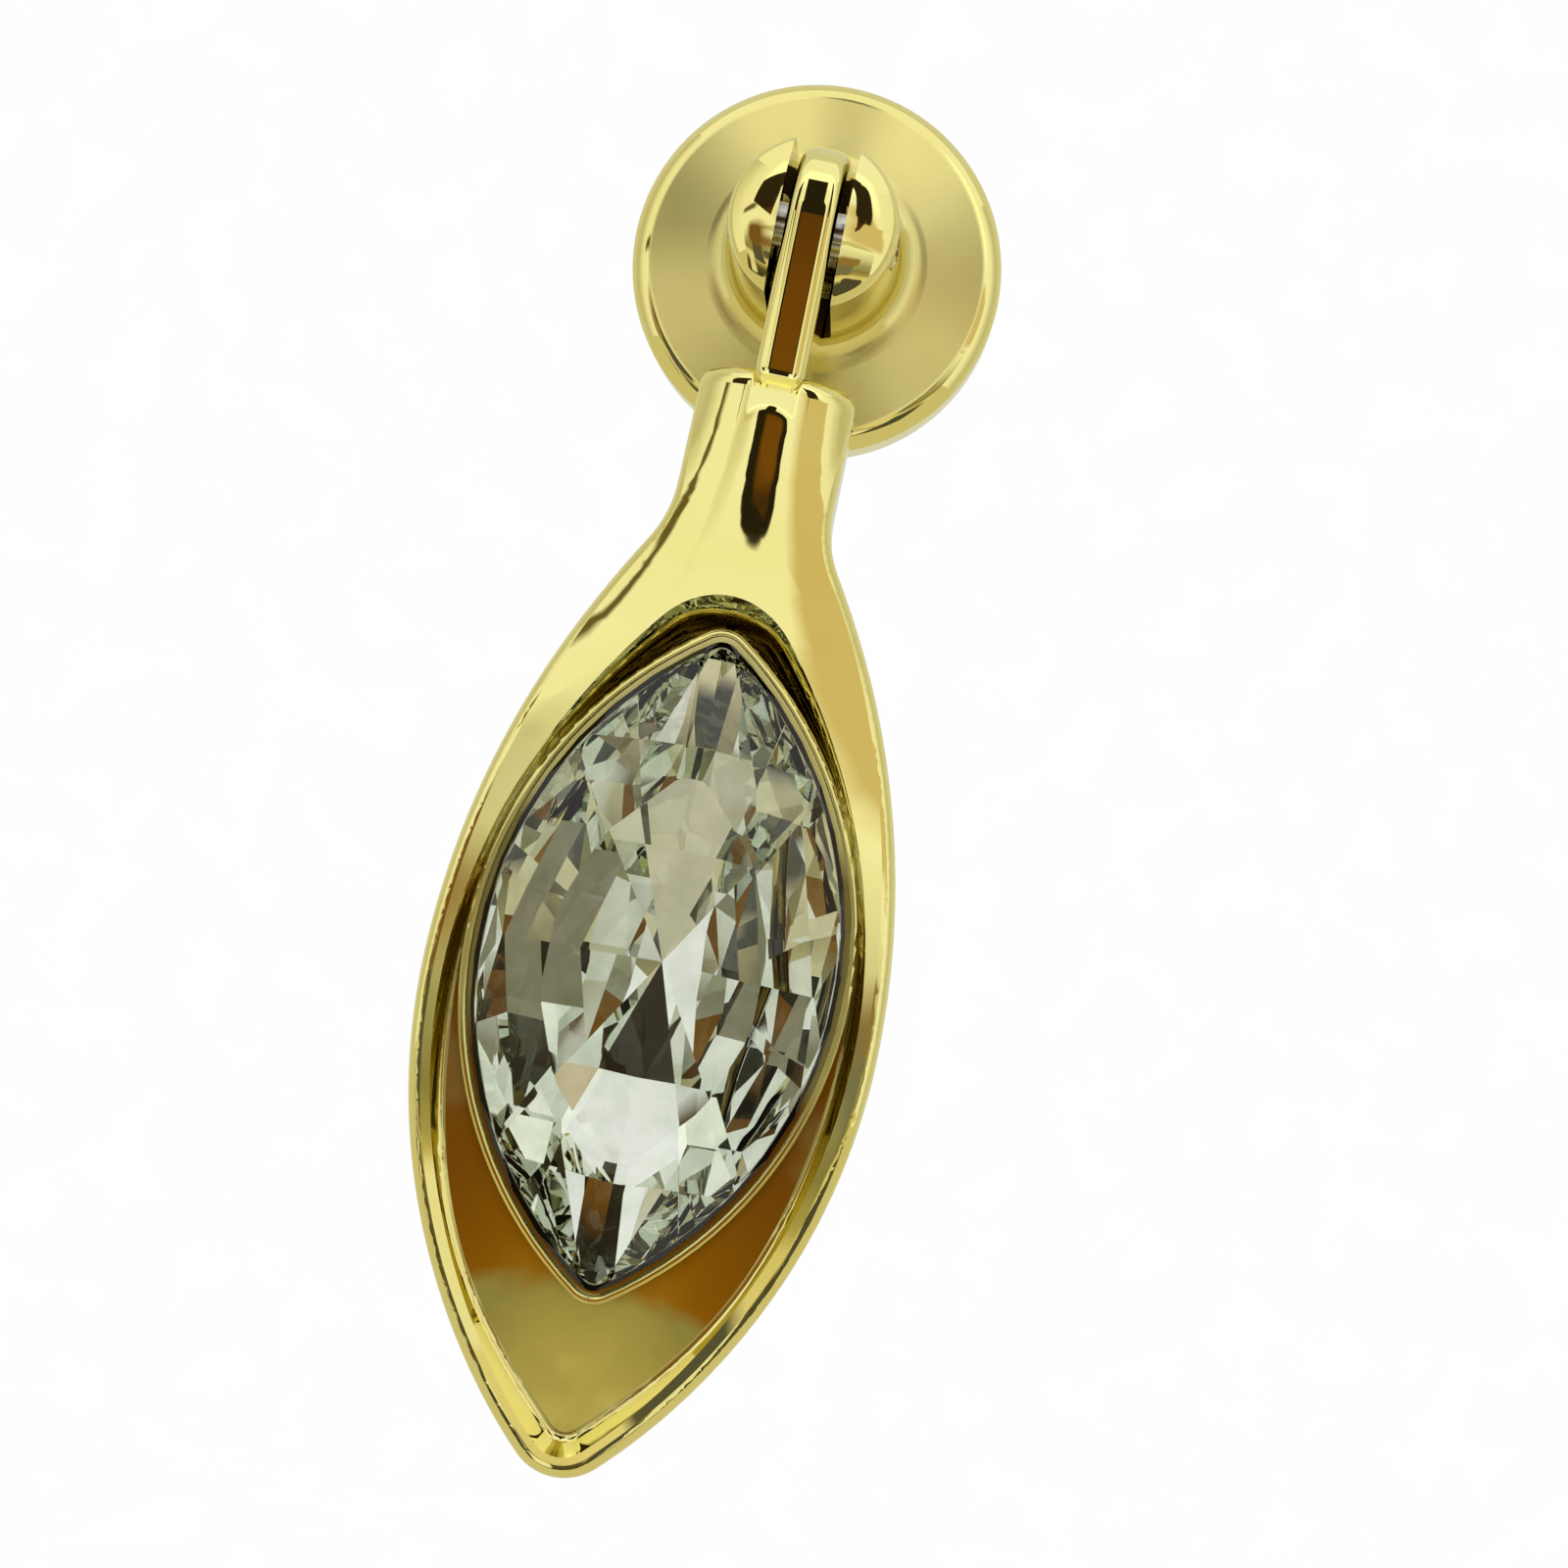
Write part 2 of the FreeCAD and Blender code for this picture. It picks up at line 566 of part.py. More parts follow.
def gem(cuts, low, high, half, length, ball, middle_drop):
    """A convex solid between two levels. Each cut is a bearing and its share of the oval's reach at each level."""
    wide = length * 3
    corner = [FreeCAD.Vector(x, y, z) for y in (-high, -low) for x, z in
              ((-wide, -wide), (wide, -wide), (wide, wide), (-wide, wide))]
    faces = [[corner[i] for i in side] for side in
             ((0, 1, 2, 3), (4, 7, 6, 5), (0, 4, 5, 1), (1, 5, 6, 2), (2, 6, 7, 3), (3, 7, 4, 0))]
    for bearing, low_share, high_share in cuts:
        reach = reach_at(bearing, half, length, ball)
        turn = math.radians(bearing)
        lean = reach * (high_share - low_share) / (high - low)
        normal = FreeCAD.Vector(math.cos(turn), lean, math.sin(turn))
        limit = reach * low_share - lean * low
        faces = clip(faces, FreeCAD.Vector(normal.x, normal.y, normal.z), limit)
    shift = FreeCAD.Vector(0, 0, -middle_drop)
    made = []
    for corners in faces:
        loop = []
        for point in corners:
            if not loop or (point - loop[-1]).Length > 1e-6:
                loop.append(point)
        if len(loop) > 1 and (loop[0] - loop[-1]).Length < 1e-6:
            loop.pop()
        if len(loop) > 2:
            loop = [point + shift for point in loop]
            made.append(Part.Face(Part.makePolygon(loop + loop[:1])))
    shell = Part.Shell(made)
    shell.sewShape()
    solid = Part.Solid(shell)
    if solid.Volume < 0:
        solid.reverse()
    return solid


def mirrored(bearings):
    """The same bearings in all four quarters."""
    found = []
    for bearing in bearings:
        for turned_to in (bearing, -bearing, 180 - bearing, 180 + bearing):
            turned_to = (turned_to + 360) % 360
            if all(abs(turned_to - other) > 1e-6 for other in found):
                found.append(turned_to)
    return sorted(found)


GIRDLE = mirrored([0, 7, 14, 21, 28, 35, 42, 49, 55, 66, 78, 90])
CROWN_MAIN = mirrored([0, 21, 42, 90])
CROWN_UPPER = mirrored([7, 14, 28, 35, 49, 66])
CROWN_STAR = mirrored([10.5, 31.5, 60])
KEEL_MAIN = mirrored([13, 90])
KEEL_LOWER = mirrored([0, 21, 35, 49, 70])
half, length, ball = size("crystal_half_width"), size("crystal_half_length"), size("crystal_end")
low, high = size("girdle_low"), size("girdle_high")
table_level = high + size("crown_height")
lean_unit = (high - low) / (table_level - high)
crown_cuts = [(bearing, 1.0, 1.0) for bearing in GIRDLE]
for bearings, lean, share in ((CROWN_MAIN, "table_lean", "table_share"),
                              (CROWN_UPPER, "upper_lean", "upper_share"),
                              (CROWN_STAR, "star_lean", "star_share")):
    crown_cuts += [(bearing, 1.0 + lean_unit * size(lean), size(share)) for bearing in bearings]
top = gem(crown_cuts, low, table_level, half, length, ball, size("crystal_drop"))
inset = size("pavilion_inset")
keel = low - size("pavilion_depth")
keel_cuts = [(bearing, 1.0, 1.0) for bearing in GIRDLE]
keel_cuts += [(bearing, 0.0, 1.0) for bearing in KEEL_MAIN]
keel_cuts += [(bearing, size("keel_share"), 1.0) for bearing in KEEL_LOWER]
bottom = gem(keel_cuts, keel, low, half - inset, length - inset, ball, size("crystal_drop"))
crystal.Shape = top.fuse(bottom).removeSplitter()
crystal.setExpression(".Placement.Base.y", "-sizes.pin_off")

doc.recompute()
for thing in doc.Objects:
    if any(word in ("Invalid", "Error") for word in thing.State):
        raise RuntimeError("%s did not rebuild" % thing.Name)
os.makedirs("parts", exist_ok=True)
for part in (rosette, hinge_pin, pendant, crystal):
    if part.Shape.isNull() or not part.Shape.isValid() or len(part.Shape.Solids) != 1:
        raise RuntimeError("%s is not one sound solid" % part.Label)
    part.Shape.exportStep("parts/%s.step" % part.Label)
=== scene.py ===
import bmesh
import bpy
import math
from mathutils import Matrix, Vector


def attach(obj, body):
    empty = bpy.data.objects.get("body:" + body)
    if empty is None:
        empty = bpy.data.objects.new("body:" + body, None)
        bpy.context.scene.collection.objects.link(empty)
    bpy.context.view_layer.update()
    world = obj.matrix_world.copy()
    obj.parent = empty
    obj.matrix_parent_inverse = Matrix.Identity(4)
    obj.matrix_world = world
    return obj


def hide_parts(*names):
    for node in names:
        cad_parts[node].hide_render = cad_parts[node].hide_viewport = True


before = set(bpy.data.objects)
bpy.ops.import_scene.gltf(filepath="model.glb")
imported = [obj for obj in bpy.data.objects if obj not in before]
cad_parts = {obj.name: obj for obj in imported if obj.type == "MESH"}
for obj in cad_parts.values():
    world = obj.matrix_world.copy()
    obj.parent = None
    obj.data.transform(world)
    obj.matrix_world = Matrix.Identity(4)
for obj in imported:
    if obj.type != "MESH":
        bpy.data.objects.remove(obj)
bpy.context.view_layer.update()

MM = 0.001
scene = bpy.context.scene


class Nodes:
    """A small helper for building a material's node tree."""

    def __init__(self, name):
        self.material = bpy.data.materials.new(name)
        self.material.use_nodes = True
        self.tree = self.material.node_tree
        self.tree.nodes.clear()
        self.out = self.tree.nodes.new("ShaderNodeOutputMaterial")

    def add(self, kind, values=None, links=None, **settings):
        """A new node, with the values and the links of its sockets and its own settings."""
        node = self.tree.nodes.new("ShaderNode" + kind)
        for key, setting in settings.items():
            setattr(node, key, setting)
        for key, number in (values or {}).items():
            node.inputs[key].default_value = number
        for key, source in (links or {}).items():
            self.tree.links.new(source, node.inputs[key])
        return node

    def maths(self, operation, first, second=None):
        """A Math node's result; the second input is a number or another node's output."""
        node = self.add("Math", links={0: first}, operation=operation)
        if isinstance(second, (int, float)):
            node.inputs[1].default_value = second
        elif second is not None:
            self.tree.links.new(second, node.inputs[1])
        return node.outputs["Value"]

    def ramp(self, factor, stops):
        """A colour that runs through the stops as the factor grows."""
        node = self.add("ValToRGB", links={"Fac": factor})
        elements = node.color_ramp.elements
        while len(elements) < len(stops):
            elements.new(0.5)
        for element, (where, colour) in zip(elements, stops):
            element.position = where
            element.color = (*colour, 1.0)
        return node.outputs["Color"]

    def scaled(self, factor, low, high, start=0.0, end=1.0):
        """A number that goes from low to high while the factor goes from start to end."""
        values = {"From Min": start, "From Max": end, "To Min": low, "To Max": high}
        return self.add("MapRange", values, {"Value": factor}).outputs["Result"]

    def millimetres(self, stretch=(1, 1, 1)):
        """The place on the object, in its own millimetres."""
        place = self.add("TexCoord")
        values = {"Scale": tuple(s / MM for s in stretch)}
        return self.add("Mapping", values, {"Vector": place.outputs["Object"]}).outputs["Vector"]

    def place(self):
        """The same place, as three numbers."""
        return self.add("SeparateXYZ", links={"Vector": self.millimetres()}).outputs

    def noise(self, where, scale, detail):
        return self.add("TexNoise", {"Scale": scale, "Detail": detail}, {"Vector": where}).outputs["Fac"]

    def finish(self, shader):
        self.tree.links.new(shader, self.out.inputs["Surface"])
        return self.material


# gold: the tones and the roughness of its two finishes, the worn colour that both share, and the painted
# shade that darkens both in their recesses
POLISHED = dict(light=(0.90, 0.83, 0.34), deep=(0.88, 0.79, 0.29), smooth=0.012, rough=0.035)
SATIN = dict(light=(0.80, 0.71, 0.28), deep=(0.76, 0.67, 0.25), smooth=0.29, rough=0.34)
WORN, WORN_SHARE, WORN_ROUGHNESS = (0.93, 0.86, 0.48, 1), 0.35, 0.03
EDGE_RADIUS = 0.25 * MM
# painted shade in the recesses: its dark colour, its largest share, and how far it looks for a recess on
# polished and on satin gold
SHADE_COLOUR, SHADE_SHARE = (0.20, 0.15, 0.05, 1), 0.92
SHADE_REACH, SATIN_SHADE_REACH = 2.5 * MM, 4.0 * MM
CLOUD_SCALE, SMUDGE_SCALE = 0.12, 0.35
WAVE_SCALE, WAVE_STRENGTH, WAVE_DEPTH = 0.22, 0.012, 1.0 * MM
GRAIN_SCALE, GRAIN_STRENGTH, GRAIN_DEPTH = 8.0, 0.02, 0.05 * MM


def tones(n, where, finish):
    """A finish's colour, two tones in soft clouds, and its roughness, with faint smudges."""
    colour = n.ramp(n.noise(where, CLOUD_SCALE, 2.0), [(0.35, finish["deep"]), (0.65, finish["light"])])
    roughness = n.scaled(n.noise(where, SMUDGE_SCALE, 2.0), finish["smooth"], finish["rough"], 0.3, 0.7)
    return colour, roughness


def gold(n, base_normal, satin=None):
    """Plated gold, polished but for its satin share, worn pale on the edges, and darkened in its recesses by
    painted shade.
    """
    where = n.millimetres()
    colour, roughness = tones(n, where, POLISHED)
    # painted shade: ambient occlusion finds the recesses that the colour is darkened in
    cavity_shade = n.add("AmbientOcclusion", {"Distance": SHADE_REACH}, samples=6)
    waves = n.add("Bump", {"Strength": WAVE_STRENGTH, "Distance": WAVE_DEPTH},
                  {"Height": n.noise(where, WAVE_SCALE, 1.0), "Normal": base_normal})
    normal = waves.outputs["Normal"]
    if satin is not None:
        duller, rougher = tones(n, where, SATIN)
        colour = n.add("MixRGB", {}, {"Fac": satin, "Color1": colour, "Color2": duller}).outputs["Color"]
        roughness = n.add("Mix", {}, {0: satin, 2: roughness, 3: rougher}).outputs[0]
        # the painted shade looks further for a recess on the satin
        n.tree.links.new(n.scaled(satin, SHADE_REACH, SATIN_SHADE_REACH), cavity_shade.inputs["Distance"])
        n.tree.links.new(n.scaled(satin, WAVE_STRENGTH, 0.0), waves.inputs["Strength"])
        fine = n.noise(where, GRAIN_SCALE, 2.0)
        grain = n.add("Bump", {"Distance": GRAIN_DEPTH},
                      {"Strength": n.scaled(satin, 0.0, GRAIN_STRENGTH), "Height": fine, "Normal": normal})
        normal = grain.outputs["Normal"]
    # painted shade: the colour is darkened towards the dark colour where the occlusion finds a recess close
    # by
    shaded = n.scaled(cavity_shade.outputs["AO"], SHADE_SHARE, 0.0, 0.30, 0.80)
    colour = n.add("MixRGB", {"Color2": SHADE_COLOUR}, {"Fac": shaded, "Color1": colour}).outputs["Color"]
    rounded = n.add("Bevel", {"Radius": EDGE_RADIUS}, samples=4).outputs["Normal"]
    own = n.add("NewGeometry").outputs["Normal"]
    same = n.add("VectorMath", {}, {0: rounded, 1: own}, operation="DOT_PRODUCT").outputs["Value"]
    edge = n.scaled(same, 1.0, 0.0, 0.90, 0.99)
    worn = n.add("MixRGB", {"Color2": WORN}, {"Fac": n.scaled(edge, 0.0, WORN_SHARE), "Color1": colour})
    scuffed = n.maths("ADD", roughness, n.scaled(edge, 0.0, WORN_ROUGHNESS))
    shader = n.add("BsdfPrincipled", {"Metallic": 1.0},
                   {"Base Color": worn.outputs["Color"], "Roughness": scuffed, "Normal": normal})
    return n.finish(shader.outputs["BSDF"])


def leaned(n, vector, kind="Normal"):
    """The surface's normal with a vector of the object's own frame added to it."""
    turned = n.add("VectorTransform", {}, {"Vector": vector}, vector_type="VECTOR", convert_from="OBJECT",
                   convert_to="WORLD").outputs["Vector"]
    own = n.add("NewGeometry").outputs[kind]
    both = n.add("VectorMath", {}, {0: own, 1: turned}, operation="ADD").outputs["Vector"]
    return n.add("VectorMath", {}, {0: both}, operation="NORMALIZE").outputs["Vector"]


# the collar's lean: where it grows up the collar and where it ends above, in mm, and its fade over x squared
LEAN, LEAN_POWER, LEAN_ROUND = 0.9, 6.0, 0.25
LEAN_START, LEAN_FULL = -13.6, -11.7
TOP_START, TOP_END = -10.2, -9.6
SIDE_START, SIDE_END = 1.7, 2.3


def barrel_normal(n):
    """The normal, leaned up by degrees along the collar's middle near its top, as a barrelled collar's is."""
    place = n.place()
    square = n.maths("MULTIPLY", place["X"], place["X"])
    bent = n.maths("MULTIPLY", n.maths("MINIMUM", square, SIDE_START), LEAN_ROUND)
    share = n.scaled(n.maths("ADD", place["Z"], bent), 0.0, 1.0, LEAN_START, LEAN_FULL)
    below = n.scaled(place["Z"], LEAN, 0.0, TOP_START, TOP_END)
    front = n.scaled(square, 1.0, 0.0, SIDE_START, SIDE_END)
    amount = n.maths("MULTIPLY", n.maths("MULTIPLY", n.maths("POWER", share, LEAN_POWER), below), front)
    return leaned(n, n.add("CombineXYZ", links={"Z": amount}).outputs["Vector"])


def dished_normal(n, amount):
    """The normal, leaned outward by an amount, as on a face that falls away a little more to its rim."""
    place = n.place()
    flat = n.add("CombineXYZ", links={"X": place["X"], "Z": place["Z"]}).outputs["Vector"]
    out = n.add("VectorMath", {}, {0: flat}, operation="NORMALIZE").outputs["Vector"]
    return leaned(n, n.add("VectorMath", {}, {0: out, "Scale": amount}, operation="SCALE").outputs["Vector"])


def brushed_steel(name):
    """The pin's steel, turned, with fine rings along its length."""
    n = Nodes(name)
    rings = n.noise(n.millimetres((8, 0.3, 0.3)), 1.0, 2.0)
    colour = n.ramp(rings, [(0.3, (0.55, 0.54, 0.52)), (0.7, (0.78, 0.77, 0.74))])
    bump = n.add("Bump", {"Strength": 0.2, "Distance": 0.02 * MM}, {"Height": rings})
    roughness = n.scaled(rings, 0.12, 0.3)
    shader = n.add("BsdfPrincipled", {"Metallic": 1.0},
                   {"Base Color": colour, "Roughness": roughness, "Normal": bump.outputs["Normal"]})
    return n.finish(shader.outputs["BSDF"])


def crystal_glass(name):
    """Clear cut glass with a faint green cast in clouds, and specks of dust that dull it a little."""
    n = Nodes(name)
    where = n.millimetres()
    colour = n.ramp(n.noise(where, 0.15, 1.0), [(0.35, (0.93, 0.96, 0.92)), (0.65, (1.0, 1.0, 0.99))])
    dusty = n.scaled(n.noise(where, 3.0, 3.0), 0.0, 0.015, 0.6, 0.8)
    waves = n.add("Bump", {"Strength": 0.01, "Distance": 0.5 * MM}, {"Height": n.noise(where, 0.3, 1.0)})
    shader = n.add("BsdfPrincipled", {"Transmission Weight": 1.0, "IOR": 1.54},
                   {"Roughness": dusty, "Base Color": colour, "Normal": waves.outputs["Normal"]})
    return n.finish(shader.outputs["BSDF"])


def silver_foil(name):
    """The stone's mirrored back: silver with a grey-green cast, each facet with its own slight lean."""
    n = Nodes(name)
    cloud = n.noise(n.millimetres(), 0.5, 3.0)
    own_lean = n.add("Attribute", attribute_name="lean").outputs["Vector"]
    colour = n.ramp(cloud, [(0.3, (0.72, 0.76, 0.68)), (0.7, (0.86, 0.88, 0.83))])
    roughness = n.scaled(cloud, 0.0, 0.02)
    normal = leaned(n, own_lean, "True Normal")
    shader = n.add("BsdfPrincipled", {"Metallic": 1.0},
                   {"Base Color": colour, "Roughness": roughness, "Normal": normal})
    return n.finish(shader.outputs["BSDF"])


def pendant_gold():
    n = Nodes("polished_gold")
    return gold(n, barrel_normal(n))


# the rosette's satin face, between two radii in mm, its satin back and the outward lean of both
FACE_INNER, FACE_OUTER = (5.9, 6.6), (10.9, 11.2)
BACK = (-0.3, -0.2)
FACE_LEAN = 0.13


def rosette_gold():
    """The rosette's gold: satin on its back and on its face between post and rim, and polished elsewhere."""
    n = Nodes("satin_gold")
    place = n.place()
    flat = n.add("CombineXYZ", links={"X": place["X"], "Y": place["Z"]})
    radius = n.add("VectorMath", {}, {0: flat.outputs["Vector"]}, operation="LENGTH").outputs["Value"]
    past_post = n.scaled(radius, 0.0, 1.0, *FACE_INNER)
    short_of_rim = n.scaled(radius, 1.0, 0.0, *FACE_OUTER)
    rear = n.scaled(place["Y"], 0.0, 1.0, *BACK)
    satin = n.maths("MAXIMUM", n.maths("MULTIPLY", past_post, short_of_rim), rear)
    return gold(n, dished_normal(n, n.scaled(satin, 0.0, FACE_LEAN)), satin)


steel = brushed_steel("pin_steel")
glass = crystal_glass("crystal_glass")
foil = silver_foil("crystal_foil")
paints = {"rosette": rosette_gold(), "pendant": pendant_gold(), "hinge_pin": steel, "crystal": glass}
for name, paint in paints.items():
    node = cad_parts[name]
    node.data.materials.clear()
    node.data.materials.append(paint)

# the crystal: the solid's own flats, its foiled back cut finer by spokes from the culet and by rings
PIN_Y, GIRDLE_FORWARD = -12.5, 2.2
GIRDLE_Y = PIN_Y - GIRDLE_FORWARD
BACK_Y = GIRDLE_Y + 0.42
FOIL_Y = GIRDLE_Y - 0.01
HALF_WIDTH, HALF_LENGTH = 11.0, 19.0
SPOKE = 58
SPOKES = (0, SPOKE, 90, 180 - SPOKE)
RINGS = (0.40, 0.74)
RING_SKEW = 14
LEAN_LEAST, LEAN_SPAN = 0.05, 0.11
NOISE_WEIGHTS, NOISE_START, NOISE_GAIN = (127.1, 311.7, 74.7), 0.7, 43758.5453


def bearing(spot, culet):
    """The direction from the culet to a spot, in degrees from the stone's right."""
    return math.degrees(math.atan2(spot.z - culet.z, spot.x - culet.x)) % 360


def reach_at(degrees):
    """The stone's half size in millimetres towards a bearing."""
    turn = math.radians(degrees)
    return 1 / math.hypot(math.cos(turn) / HALF_WIDTH, math.sin(turn) / HALF_LENGTH)


def bisect(bm, faces, spot, normal):
    """Cuts the faces along a plane through a spot."""
    parts = set(faces)
    for face in faces:
        parts.update(face.edges)
        parts.update(face.verts)
    bmesh.ops.bisect_plane(bm, geom=list(parts), plane_co=spot, plane_no=normal, dist=1e-7)


def spoke_normal(degrees):
    """The normal of the upright plane that runs towards a bearing."""
    turn = math.radians(degrees)
    return Vector((-math.sin(turn), 0, math.cos(turn)))


def ring_plane(culet, sector, share):
    """The cut that ends a sector's facets at one share of the way to the girdle."""
    start, end = sector
    skew = RING_SKEW if start % 180 in (SPOKE, 180 - SPOKE) else -RING_SKEW
    turn = math.radians((start + end) / 2 + skew)
    way = Vector((math.cos(turn), 0, math.sin(turn)))
    return culet + way * share * reach_at((start + end) / 2) * MM, way


def noise_of(*keys):
    """A number from 0 to 1 that looks random but is the same for the same keys."""
    mixed = math.sin(sum(k * w for k, w in zip(keys, NOISE_WEIGHTS)) + NOISE_START) * NOISE_GAIN
    return mixed - math.floor(mixed)


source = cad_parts["crystal"].data
cut = bpy.data.meshes.new("cut_crystal")
cut.from_pydata([v.co for v in source.vertices], [], [tuple(p.vertices) for p in source.polygons])
bm = bmesh.new()
bm.from_mesh(cut)
culet = max(bm.verts, key=lambda v: v.co.y).co.copy()


def behind(faces):
    return [f for f in faces if f.calc_center_median().y / MM > BACK_Y]


def within(faces, sector):
    return [f for f in faces if sector[0] < bearing(f.calc_center_median(), culet) < sector[1]]


for spoke in SPOKES:
    bisect(bm, behind(bm.faces), culet, spoke_normal(spoke))
marks = sorted(list(SPOKES) + [s + 180 for s in SPOKES]) + [360]
sectors = list(zip(marks, marks[1:]))
for sector in sectors:
    for share in RINGS:
        spot, way = ring_plane(culet, sector, share)
        bisect(bm, within(behind(bm.faces), sector), spot, way)
    spot, way = ring_plane(culet, sector, RINGS[0])
    outer = [f for f in within(behind(bm.faces), sector) if (f.calc_center_median() - spot).dot(way) > 0]
    bisect(bm, outer, culet, spoke_normal(sum(sector) / 2))

# each facet leans a little its own way, the same on all four quarters of the stone
lean = bm.loops.layers.float_vector.new("lean")
rear = set(behind(bm.faces))
for face in bm.faces:
    face.smooth = False
    spot = face.calc_center_median()
    face.material_index = 1 if spot.y / MM > FOIL_Y else 0
    if face not in rear:
        continue
    here = bearing(spot, culet)
    sector = next(s for s in sectors if s[0] <= here <= s[1])
    ring = sum((spot - at).dot(way) > 0 for at, way in (ring_plane(culet, sector, share) for share in RINGS))
    side_x = 1 if spot.x > culet.x else -1
    side_z = 1 if spot.z > culet.z else -1
    half = int(here > sum(sector) / 2)
    if side_x * side_z < 0:
        half = 1 - half
    if ring == 0:
        half = 0
    folded = min(here % 180, 180 - here % 180)
    key = sum(folded > s for s in (0, SPOKE))
    turn = 2 * math.pi * noise_of(key, ring, half)
    size = LEAN_LEAST + LEAN_SPAN * noise_of(ring, half, key)
    vector = Vector((math.cos(turn) * size * side_x, 0, math.sin(turn) * size * side_z))
    for loop in face.loops:
        loop[lean] = vector
bm.to_mesh(cut)
bm.free()
cut.materials.append(glass)
cut.materials.append(foil)
stone = bpy.data.objects.new("cut_crystal", cut)
scene.collection.objects.link(stone)
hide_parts("crystal")
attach(stone, "drop")


def glow(name, stops, shape=None, soft=0.1, along="Z"):
    """A card's own light: stops give its colour by place in mm, and shape its soft rounded outline."""
    n = Nodes(name)
    place = n.place()
    low, high = stops[0][0], stops[-1][0]
    share = n.scaled(place[along], 0.0, 1.0, low, high)
    colour = n.ramp(share, [((z - low) / (high - low), c) for z, c in stops])
    light = n.add("Emission", {"Strength": 1.0}, {"Color": colour}).outputs["Emission"]
    if shape is None:
        return n.finish(light)
    x0, x1, z0, z1, corner_x, corner_z = shape
    reach = []
    for axis, a, b, corner in (("X", x0, x1, corner_x), ("Z", z0, z1, corner_z)):
        size = n.maths("ABSOLUTE", n.maths("SUBTRACT", place[axis], (a + b) / 2))
        reach.append(n.scaled(size, 0.0, 1.0, (b - a) / 2 - corner, (b - a) / 2))
    both = n.add("CombineXYZ", links={"X": reach[0], "Y": reach[1]})
    far = n.add("VectorMath", {}, {0: both.outputs["Vector"]}, operation="LENGTH").outputs["Value"]
    mask = n.scaled(far, 1.0, 0.0, 1.0 - soft, 0.99)
    clear = n.add("BsdfTransparent").outputs["BSDF"]
    return n.finish(n.add("MixShader", {}, {0: mask, 1: clear, 2: light}).outputs["Shader"])


def card(name, corners, paint, seen=False):
    """A flat card of the studio, its corners in millimetres, kept out of the camera's view unless seen."""
    mesh = bpy.data.meshes.new(name)
    mesh.from_pydata([Vector(c) * MM for c in corners], [], [(0, 1, 2, 3)])
    mesh.materials.append(paint)
    made = bpy.data.objects.new(name, mesh)
    scene.collection.objects.link(made)
    made.visible_camera = seen


def flag(name, x0, x1, z0, z1, y, stops, corner, soft):
    """An upright card facing the object, its corners rounded in x and z, with a soft share at its edge."""
    shape = None if corner is None else (x0, x1, z0, z1, *corner)
    card(name, [(x0, y, z0), (x1, y, z0), (x1, y, z1), (x0, y, z1)], glow(name, stops, shape, soft))


def plain(colour):
    """One colour from end to end of any card."""
    return [(-1000, colour), (1000, colour)]


# studio: white all round, a dark figure in front with a brown middle, dark flags beside it, a warm low sweep
world = bpy.data.worlds.new("studio")
scene.world = world
world.use_nodes = True
world.node_tree.nodes["Background"].inputs["Color"].default_value = (1.0, 1.0, 0.98, 1)
world.node_tree.nodes["Background"].inputs["Strength"].default_value = 1.0
NEAR_Y = -136
BLACK = (0.020, 0.015, 0.008)
BROWN = (0.30, 0.20, 0.08)
CORE = [(-8, (0.20, 0.080, 0.008)), (10, (0.16, 0.062, 0.008)), (26, (0.06, 0.025, 0.005))]
SIDE = [(-95, (0.17, 0.07, 0.015)), (15, (0.16, 0.06, 0.01)), (40, (0.03, 0.02, 0.01)),
        (240, (0.03, 0.02, 0.01))]
SWEEP = [(-600, (0.06, 0.05, 0.025)), (-230, (0.08, 0.065, 0.03)), (-185, (0.12, 0.10, 0.05)),
         (-160, (0.40, 0.34, 0.20)), (-143, (0.84, 0.75, 0.52)), (-123, (0.74, 0.65, 0.40)),
         (-117, (0.44, 0.38, 0.18)), (-104, (0.27, 0.24, 0.12)), (-80, (0.40, 0.38, 0.27)),
         (-60, (0.66, 0.65, 0.58)), (-34, (0.90, 0.89, 0.82)), (-24, (1.0, 1.0, 0.98))]
flag("figure", -41, 45, -13, 60, -135.0, plain(BLACK), (42, 18), 0.05)
flag("figure_tall", -25, 4, 20, 195, -135.2, plain(BLACK), (10, 20), 0.1)
flag("figure_core", -20, 34, -8, 26, -134.5, CORE, (16, 12), 0.5)
card("left_near", [(-114, NEAR_Y, 14), (-114, NEAR_Y, 190), (-265, NEAR_Y, 190), (-265, NEAR_Y, 84)],
     glow("left_dark", SIDE))
flag("left_low", -300, -104, -96, 12, -136.0, plain((0.20, 0.10, 0.03)), (80, 40), 0.7)
flag("left_far", -430, -190, 40, 80, -136.5, plain((0.16, 0.12, 0.05)), (60, 16), 0.8)
card("right_near", [(103, NEAR_Y, 14), (103, NEAR_Y, 235), (145, NEAR_Y, 235), (145, NEAR_Y, 42)],
     glow("right_dark", SIDE))
flag("right_far", 125, 190, 52, 235, -136.5, SIDE, (30, 50), 0.3)
flag("low_sweep", -340, 260, -600, -24, -138.0, SWEEP, None, 0.1)

